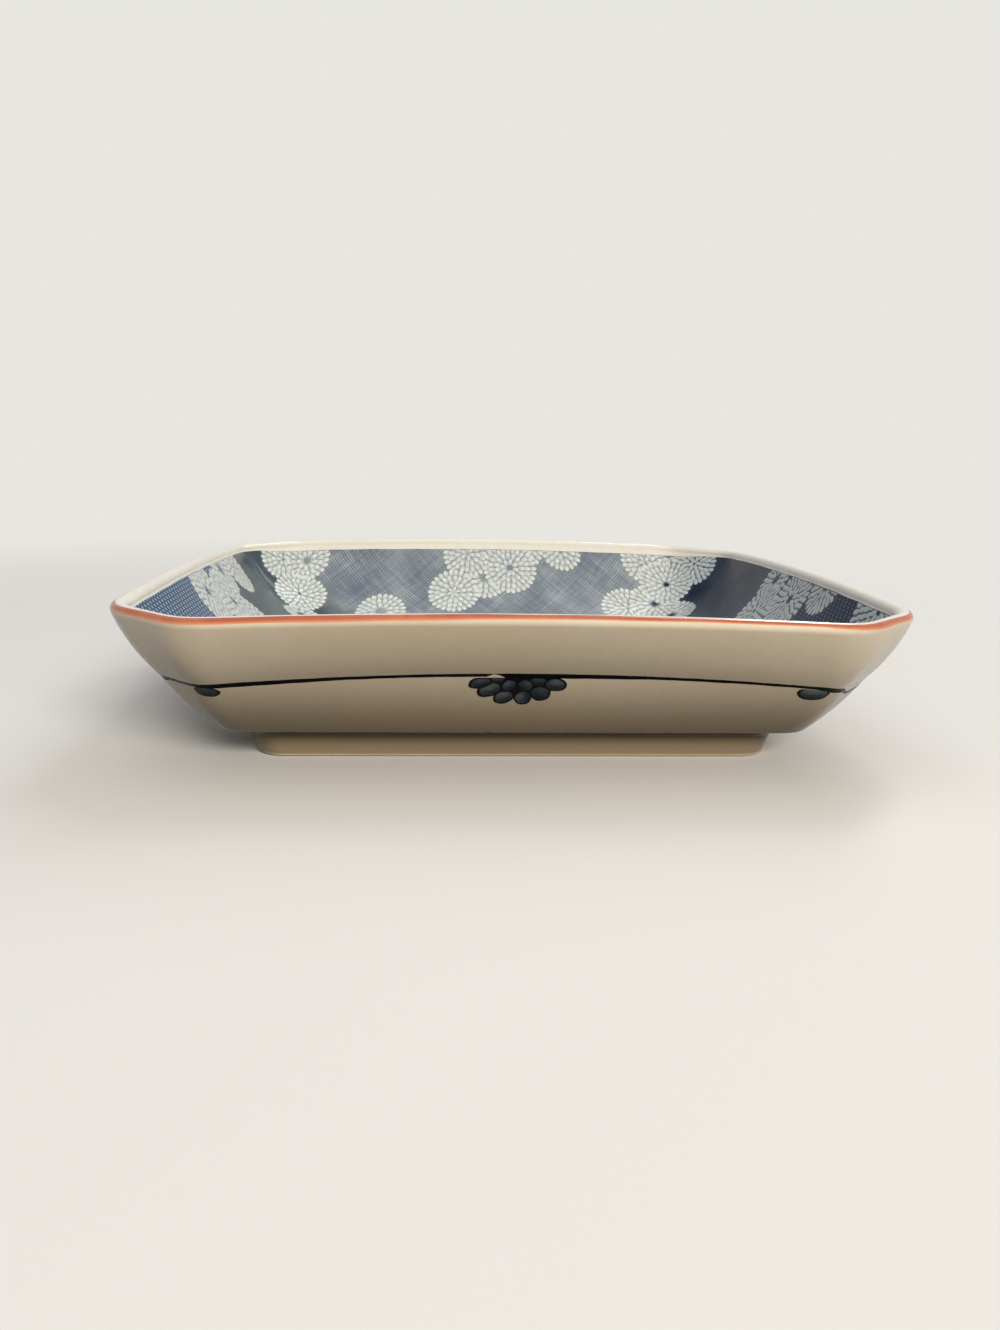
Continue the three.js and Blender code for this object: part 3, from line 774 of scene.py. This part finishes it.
def make_coats():
    lower, upper = blue_line_borders()
    red_start, red_end = red_line_borders()
    white_end = MARKS["well"] + white_border(TURNS) + wander("white_end")
    every_column = np.ones_like(COLUMN_SHARE)
    base = np.concatenate([
        np.linspace(AXIS_MARGIN, MARKS["recess"], COAT_ROWS["base"])[:-1],
        np.linspace(MARKS["recess"], MARKS["bare"], COAT_ROWS["recess"]),
    ])
    coat(FINE + "base_glaze", base[:, None] * every_column, BASE, "white_glaze", axis_end="start")
    wall = between(MARKS["foot"], lower, COAT_ROWS["lower"])
    coat(FINE + "lower_wall_glaze", wall, GLAZE_PAINTED_WARM_AND_SHADED, "white_glaze")
    line_shares = np.linspace(0, 1, COAT_ROWS["line"])[:, None]
    across = line_shares * every_column
    line = between(lower, upper, COAT_ROWS["line"])
    coat(FINE + "shoulder_blue_line", line, COBALT, "cobalt", across=across)
    coat(FINE + "upper_wall_glaze", between(upper, red_start, COAT_ROWS["upper"]), GLAZE_PAINTED_WARM_AND_SHADED, "white_glaze")
    proud = -RED_LINE_PROUD * np.sin(math.pi * line_shares) ** 0.5
    red = between(red_start, red_end, COAT_ROWS["line"])
    coat(FINE + "rim_red_line", red, RED, "red_enamel", depth=proud, across=across)
    coat(FINE + "lip_glaze", between(red_end, white_end, COAT_ROWS["lip"]), LIP_WHITE, "white_glaze")
    floor_rows = np.linspace(MARKS["floor"], MARKS["end"] - AXIS_MARGIN, COAT_ROWS["floor"])[1:]
    well = np.concatenate([
        between(white_end, MARKS["floor"], COAT_ROWS["well"]),
        floor_rows[:, None] * every_column,
    ])
    stretched = (MARKS["end"] - well) / outline_at(well)["half"]
    chart = rings(well) * stretched[..., None]
    bloom = bloom_at(chart)
    coat(FINE + "well_blue_glaze", well, WELL, "blue_glaze", axis_end="end", chart=chart, bloom=bloom)


def make_body():
    """The fired body under the coats, which shows only at the bare edge of the foot."""
    under = np.concatenate([
        np.linspace(AXIS_MARGIN, MARKS["recess"], BODY_ROWS["base"])[:-1],
        np.linspace(MARKS["recess"], MARKS["bare"] - BODY_STEP, BODY_ROWS["recess"]),
    ])
    bare = np.linspace(MARKS["bare"], MARKS["foot"], BODY_ROWS["bare"])
    over = np.linspace(MARKS["foot"] + BODY_STEP, MARKS["end"] - AXIS_MARGIN, BODY_ROWS["covered"])
    depth = np.repeat([GLAZE, 0.0, GLAZE], [len(under), len(bare), len(over)])
    s = np.concatenate([under, bare, over])[:, None] * np.ones_like(COLUMN_SHARE)
    grid = rings(s, depth[:, None])
    points = grid.reshape(-1, 3)
    points = np.vstack([points] + [[0, 0, row[:, 2].mean()] for row in (grid[0], grid[-1])])
    faces = band_faces(len(s), s.shape[1], closed=False)
    make_piece(FINE + "porcelain_body", points, faces, BARE, "bare_porcelain", "porcelain_body")


# Thin raised petals, each a closed lens of paint whose outline and inner rings share one shape

def petal_stack(middle, ring_rows, name, look, slot, node=None, **values):
    """One piece from petals, each given by its middle and its rings outwards, the last one underneath."""
    count, ring_count, around = ring_rows.shape[:3]
    per_petal = 1 + ring_count * around
    points = np.concatenate([middle[:, None], ring_rows.reshape(count, -1, 3)], axis=1)
    pattern = []
    for i in range(around):
        j = (i + 1) % around
        pattern.append((0, 1 + i, 1 + j))
        for r in range(ring_count - 1):
            inner, outer = 1 + r * around, 1 + (r + 1) * around
            pattern.append((inner + i, outer + i, outer + j, inner + j))
    bottom = 1 + (ring_count - 1) * around
    pattern.append(tuple(bottom + i for i in reversed(range(around))))
    faces = [tuple(p * per_petal + v for v in face) for p in range(count) for face in pattern]
    return make_piece(name, points.reshape(-1, 3), faces, look, slot, node, **values)


def closed_turn(count):
    return np.arange(count) / count * 2 * math.pi


# White chrysanthemums of the well, on a chart: the plan, spread out by the profile's length up the wall

# Each flower: its place on the chart and its radius
CHRYSANTHEMUMS = (
    # back wall, from the left
    (-65, 68, 8.0), (-58, 72, 7.2), (-53, 47, 5.6), (-56, 58.5, 8.2), (-31.3, 53.5, 7.4),
    (-1, 67, 7.6),
    (-6.5, 74.5, 8.0), (12, 77, 7.0), (24.5, 76, 6.6), (7, 70, 8.6), (-10.5, 61.5, 7.8),
    (61, 75, 7.0), (52, 73, 8.0), (67, 67, 8.0), (53, 50, 7.5), (41.5, 56, 8.0), (50, 58, 7.5), (56, 65, 8.6),
    # right wall
    (75, 10, 7.6), (78, -22, 7.6), (66, 8, 8.2), (72, -6.5, 9.0), (77, -52, 10.6),
    # left wall
    (-74, 34, 8.0), (-61, 16, 7.0), (-75, 19, 7.6), (-72, -4, 9.0), (-67, 10, 9.0),
    # front wall
    (64, -70, 8.0), (56, -48, 7.0), (58, -60, 8.4), (30, -52, 6.8),
    (-14, -76, 6.8), (-2, -76, 7.4), (-9, -67, 8.4), (8, -61, 7.8),
    (-54, -73, 7.6), (-66, -64, 7.4), (-45, -55, 7.6), (-58, -58, 8.4),
    # floor
    (-2, 17, 7.6), (-19, -3, 7.2), (-5, 2, 7.6), (-14, 10, 8.6),
    (31, -10, 7.4), (27, -26, 7.2), (21, -17, 8.4),
    (33, 29, 6.8), (22, 26, 7.8), (-30, 31, 7.4),
    (-19, -36, 7.0), (-30, -29, 8.2), (2, -33, 6.4), (42, 6, 6.4),
)
PETAL_LENGTH = 2.35
PETAL_PITCH = 1.85
PETAL_SPACING = 1.55
PETAL_FILL = 0.91
PETAL_POINTS = 10
LEAST_REACH = 1.0
PETAL_HEIGHTS = (0.05, 0.042, 0.012, -0.12)
PETAL_SHARES = (0.72, 1.0, 1.0)
PETAL_TAPER = 0.08
INNER_PETAL_SHARE = 0.85
FEWEST_PETALS = 6
# How far a petal strays in its turn, its ring, its length and its width
TURN_SPREAD = (-0.07, 0.07)
RING_SPREAD = (-0.15, 0.15)
LENGTH_SPREAD = (0.94, 1.06)
WIDTH_SPREAD = (0.93, 1.05)
FLOWER_LIFT = 0.0006
COVERED = 0.7
LEAST_PULL = 0.985
CORNER_EASING = 14
BORDER_HALVINGS = 24
WELL_HALVINGS = 30
SLOPE_STEP = 0.05


def bloom_at(chart):
    """How much of the ground lies under a chrysanthemum, where a pale wash fills between its petals."""
    bloom = np.zeros(chart.shape[:2])
    for x, y, radius in CHRYSANTHEMUMS:
        inside = radius - np.hypot(chart[..., 0] - x, chart[..., 1] - y)
        bloom = np.maximum(bloom, smooth(inside, -0.2, 1.0) * smooth(radius - inside, 0.6, 1.6))
    return bloom


def octagon_distance(x, y, at):
    """How far a point in plan lies outside a rounded, cut square."""
    inner = at["half"] - at["rounding"]
    inner_cut = at["cut"] - DIAGONAL_SHARE * at["rounding"]
    x, y = np.maximum(abs(x), abs(y)), np.minimum(abs(x), abs(y))
    from_side = x - inner
    past_edge = y - (inner - inner_cut)
    from_face = np.maximum((from_side + past_edge) * HALF_ROOT, from_side)
    beside = np.where((past_edge > 0) & (from_side > 0), np.hypot(from_side, past_edge), from_side)
    return np.where(past_edge > from_side, from_face, beside) - at["rounding"]


def chart_distance(x, y, s):
    """How far a point of the chart lies outside the outline at s, both brought back to the plan."""
    at = outline_at(s)
    spread = at["half"] / (MARKS["end"] - s)
    return octagon_distance(x * spread, y * spread, at), x * spread, y * spread, at


def pull_inside(x, y):
    """The factor that brings a point of the chart inside the white border, 1 where it lies inside."""
    sideways = smooth(abs(x) - abs(y), -CORNER_EASING, CORNER_EASING)
    beside = np.where(x > 0, WHITE_BORDERS["right"], WHITE_BORDERS["left"])
    ahead = np.where(y > 0, WHITE_BORDERS["back"], WHITE_BORDERS["front"])
    edge = MARKS["well"] + lerp(ahead, beside, sideways) + BORDER_CLEARANCE
    low, high = np.full(x.shape, 0.5), np.ones(x.shape)
    inside = chart_distance(x, y, edge)[0] < 0
    for _ in range(BORDER_HALVINGS):
        middle = (low + high) / 2
        out = chart_distance(x * middle, y * middle, edge)[0] > 0
        low, high = np.where(out, low, middle), np.where(out, middle, high)
    return np.where(inside, 1.0, low)


def on_well(x, y, height):
    """The point over the well that a point of its chart stands for."""
    pull = pull_inside(x, y)
    x, y = x * pull, y * pull
    low, high = np.full(x.shape, MARKS["well"]), np.full(x.shape, MARKS["end"] - AXIS_MARGIN)
    for _ in range(WELL_HALVINGS):
        middle = (low + high) / 2
        inside = chart_distance(x, y, middle)[0] < 0
        low, high = np.where(inside, middle, low), np.where(inside, high, middle)
    _, plan_x, plan_y, at = chart_distance(x, y, low)
    right, left = (octagon_distance(plan_x + step, plan_y, at) for step in (SLOPE_STEP, -SLOPE_STEP))
    back, front = (octagon_distance(plan_x, plan_y + step, at) for step in (SLOPE_STEP, -SLOPE_STEP))
    slope_x, slope_y = right - left, back - front
    steep = np.maximum(np.hypot(slope_x, slope_y), TINY_SLOPE)
    lesser = np.minimum(abs(plan_x), abs(plan_y))
    rise = at["arch"] * np.maximum(0, 1 - (lesser / np.maximum(at["side_end"], TINY_LENGTH)) ** 2)
    return np.stack([
        plan_x + height * at["out"] * slope_x / steep,
        plan_y + height * at["out"] * slope_y / steep,
        at["z"] + rise + height * at["high"],
    ], axis=-1)


def well_petals():
    """Middle, direction, length, width, tone and flower of every petal that no later flower covers."""
    random = np.random.default_rng(23)
    petals = []
    for index, (x, y, radius) in enumerate(CHRYSANTHEMUMS):
        later = CHRYSANTHEMUMS[index + 1:]
        reach = radius - PETAL_LENGTH / 2
        while reach > LEAST_REACH:
            count = max(FEWEST_PETALS, round(2 * math.pi * reach / PETAL_SPACING))
            start = random.uniform(0, 2 * math.pi)
            usual_length = PETAL_LENGTH if reach > 2 * LEAST_REACH else PETAL_LENGTH * INNER_PETAL_SHARE
            for i in range(count):
                turn = start + 2 * math.pi * (i + random.uniform(*TURN_SPREAD)) / count
                far = reach + random.uniform(*RING_SPREAD)
                width = PETAL_FILL * 2 * math.pi * reach / count * random.uniform(*WIDTH_SPREAD)
                length = usual_length * random.uniform(*LENGTH_SPREAD)
                tone = random.uniform(0, 1)
                middle = (x + far * math.cos(turn), y + far * math.sin(turn))
                if not any(math.dist(middle, other[:2]) < other[2] - COVERED for other in later):
                    petals.append((*middle, turn, length, width, tone, index))
            reach -= PETAL_PITCH
    petals = np.array(petals)
    # A petal that the white border would pull in further than this is left out
    return petals[pull_inside(petals[:, 0], petals[:, 1]) > LEAST_PULL]


def make_chrysanthemums():
    petals = well_petals()
    x, y, turn, length, width, tone, flower = (petals[:, i, None, None] for i in range(7))
    around = closed_turn(PETAL_POINTS)[None, None]
    shares = np.array(PETAL_SHARES)[None, :, None]
    along = shares * length / 2 * np.cos(around)
    sideways = shares * width / 2 * np.sin(around) * (1 - PETAL_TAPER + PETAL_TAPER * np.cos(around))
    lifted = FLOWER_LIFT * flower
    heights = np.array(PETAL_HEIGHTS[1:])[None, :, None] + lifted * np.ones_like(along)
    ring_rows = on_well(
        x + along * np.cos(turn) - sideways * np.sin(turn),
        y + along * np.sin(turn) + sideways * np.cos(turn),
        heights,
    )
    middle = on_well(x[:, 0, 0], y[:, 0, 0], PETAL_HEIGHTS[0] + lifted[:, 0, 0])
    from_root = (along / length + 0.5).reshape(len(petals), -1)
    reach = np.concatenate([np.full((len(petals), 1), 0.5), from_root], axis=1)
    tones = tone[:, :, 0] * np.ones_like(reach)
    values = {"reach": reach.ravel(), "tone": tones.ravel()}
    petal_stack(middle, ring_rows, "well_chrysanthemums", BLOSSOM, "white_glaze", **values)


# The half flower under the line on each side, and the single petals near the ends of the side

# Each petal: place along the side from the flower's middle, down from the line, half length, half width,
# tilt in degrees, wash of its paint
FLOWER_PETALS = (
    (0.0, 1.5, 6.2, 2.3, 0, 0.0), (2.1, 0.5, 5.2, 0.6, 0, 0.0),
    (-2.5, 4.25, 1.95, 1.5, 22, 0.78), (0.85, 4.35, 1.65, 1.6, 78, 0.72),
    (-5.0, 2.5, 2.35, 1.6, 25, 0.8), (3.8, 3.3, 1.95, 1.7, -15, 0.48),
    (-3.8, 0.4, 1.4, 0.75, 0, 0.5), (3.3, 0.75, 1.7, 1.0, -5, 0.45),
    (-6.65, 1.05, 2.15, 1.15, 12, 0.55), (6.3, 1.35, 2.05, 1.4, -8, 0.72),
    (-1.7, 1.6, 1.5, 1.25, 35, 0.6), (1.1, 1.55, 1.5, 1.3, -35, 0.55),
)
END_PETALS = {
    "left": ((0.1, 1.1, 2.5, 1.25, -10, 0.5),),
    "right": ((0.83, 0.95, 3.05, 1.75, 5, 0.95),),
}
PAINT_POINTS = 26
# Rings of a painted petal: share of its size, wash from black outline to full, height over the glaze
PAINT_RINGS = (
    (0.40, 1.0, 0.030), (0.74, 0.9, 0.028), (0.83, 0.2, 0.024), (0.89, 0.0, 0.022), (0.97, 0.0, 0.016),
    (1.0, 0.0, 0.0), (1.0, 0.0, -0.12),
)
PAINT_TOP_GAP = 0.04
PAINT_LIFT = 0.012
FILL_SHIFT = 0.10
MIDDLE_WASH = 0.95
# Waves round a painted petal: count, shift from petal to petal, height
PAINT_WAVES = ((3, 1, 0.025), (5, 2, 0.02))


def on_wall(side, middle, x, y, height):
    """A point over the lower wall: x along the side from a middle, y down from the line."""
    at = outline_at(MARKS["step"] - np.maximum(y, PAINT_TOP_GAP), -height)
    return on_outline(at, side, middle + x)


def paint_petals(name, petals, side, middle):
    around = closed_turn(PAINT_POINTS)
    middles, rows, washes = [], [], []
    for lift, (x, y, half_length, half_width, tilt, wash) in enumerate(petals):
        tilt = math.radians(tilt)
        wobble = 1 + sum(high * np.sin(count * around + shift * lift) for count, shift, high in PAINT_WAVES)
        petal_rows = []
        petal_washes = [wash * MIDDLE_WASH]
        for share, ring_wash, height in PAINT_RINGS:
            along = share * half_length * np.cos(around) * wobble + FILL_SHIFT * (1 - share)
            up = share * half_width * np.sin(around) * wobble + FILL_SHIFT * (1 - share)
            across = x + along * math.cos(tilt) - up * math.sin(tilt)
            down = y - along * math.sin(tilt) - up * math.cos(tilt)
            petal_rows.append(on_wall(side, middle, across, down, height + PAINT_LIFT * lift * (height >= 0)))
            petal_washes += list(ring_wash * wash * (0.7 + 0.4 * np.sin(around)))
        rows.append(petal_rows)
        washes.append(petal_washes)
        top = PAINT_RINGS[0][2] + PAINT_LIFT * lift
        middles.append(on_wall(side, middle, np.array(x + FILL_SHIFT), np.array(y - FILL_SHIFT), top))
    shade = np.array(washes).ravel()
    petal_stack(np.array(middles), np.array(rows), FINE + name, PETAL, "cobalt", name, shade=shade)


def make_wall_flowers():
    side_end = float(outline_at(MARKS["step"])["half"]) - SHOULDER[0]
    for side, side_name in enumerate(SIDES):
        paint_petals("flower_" + side_name, FLOWER_PETALS, side, FLOWER_SHIFT)
        for end, sign in (("left", -1), ("right", 1)):
            middle = sign * (side_end - END_PETAL_INSETS[end])
            paint_petals(f"end_petal_{side_name}_{end}", END_PETALS[end], side, middle)


make_coats()
make_body()
make_chrysanthemums()
make_wall_flowers()


# Floor, light and camera, in metres

def make_stage():
    """A pale floor that sweeps up into a backdrop, and fades into even paper white away from the dish."""
    turn = np.linspace(0, math.pi / 2, SWEEP_POINTS)
    back = np.concatenate([[FLOOR_FRONT], FLOOR_BACK + SWEEP * np.sin(turn), [FLOOR_BACK + SWEEP]])
    high = np.concatenate([[0], SWEEP * (1 - np.cos(turn)), [BACKDROP_HEIGHT]])
    points = [(x, y, z) for y, z in zip(back, high) for x in (-FLOOR_REACH, FLOOR_REACH)]
    faces = [(2 * i, 2 * i + 1, 2 * i + 3, 2 * i + 2) for i in range(len(back) - 1)]
    mesh = bpy.data.meshes.new("studio_floor")
    mesh.from_pydata(points, [], faces)
    mesh.polygons.foreach_set("use_smooth", np.ones(len(faces), bool))
    look = Look("studio_paper", 0.85, 0.1)
    place = look.place()
    seen = look.background_rays()
    look.set(Base_Color=look.mix(seen, colour(*FLOOR_BOUNCE), colour(*PAPER)))
    distance = look.add("VectorMath", {0: place}, output="Value", operation="LENGTH")
    away = look.fade(distance, PAPER_NEAR, PAPER_FAR)
    even = look.add("Emission", {"Color": colour(*PAPER_WHITE), "Strength": 1.0})
    shades = {0: look.calc("MULTIPLY", seen, away), 1: look.shader.outputs["BSDF"], 2: even}
    look.feed(look.nodes["Material Output"].inputs["Surface"], look.add("MixShader", shades))
    mesh.materials.append(look.material)
    floor = bpy.data.objects.new("studio_floor", mesh)
    bpy.context.scene.collection.objects.link(floor)


def add_light(name, place, target, size, power, tint, mirrored):
    lamp = bpy.data.lights.new(name, "AREA")
    lamp.shape = "RECTANGLE"
    lamp.size, lamp.size_y = size
    lamp.energy = power
    lamp.color = tint
    light = bpy.data.objects.new(name, lamp)
    light.location = place
    light.visible_glossy = mirrored
    light.rotation_euler = (Vector(target) - Vector(place)).to_track_quat("-Z", "Y").to_euler()
    bpy.context.scene.collection.objects.link(light)


def make_light():
    world = bpy.data.worlds.new("studio_world")
    bpy.context.scene.world = world
    world.use_nodes = True
    sky = Nodes(world.node_tree)
    glow = {"Color": colour(*WORLD_GLOW), "Strength": WORLD_LEVEL}
    even = {"Color": colour(*PAPER_WHITE), "Strength": 1.0}
    shades = {0: sky.background_rays(), 1: sky.add("Background", glow), 2: sky.add("Background", even)}
    sky.feed(sky.nodes["World Output"].inputs["Surface"], sky.add("MixShader", shades))
    for name, settings in LAMPS.items():
        add_light(name, *settings)


def make_camera():
    """The camera stands where the photograph was taken from, given in the dish's own frame."""
    pitch, yaw, roll = CAMERA_TURNS
    right = Vector((math.cos(yaw), -math.sin(yaw), 0))
    ahead = Vector((math.cos(pitch) * math.sin(yaw), math.cos(pitch) * math.cos(yaw), -math.sin(pitch)))
    up = right.cross(ahead)
    right, up = (
        math.cos(roll) * right + math.sin(roll) * up,
        math.cos(roll) * up - math.sin(roll) * right,
    )
    lens = bpy.data.cameras.new("camera")
    lens.lens = PHOTO_FOCUS / PHOTO_HEIGHT * lens.sensor_width
    lens.clip_start = 0.01
    camera = bpy.data.objects.new("camera", lens)
    turned = Matrix((right, up, -ahead)).transposed().to_4x4()
    camera.matrix_world = Matrix.Translation(Vector(CAMERA_PLACE) * MM) @ turned
    bpy.context.scene.collection.objects.link(camera)
    bpy.context.scene.camera = camera


make_stage()
make_light()
make_camera()
bpy.context.scene.view_settings.view_transform = "Standard"
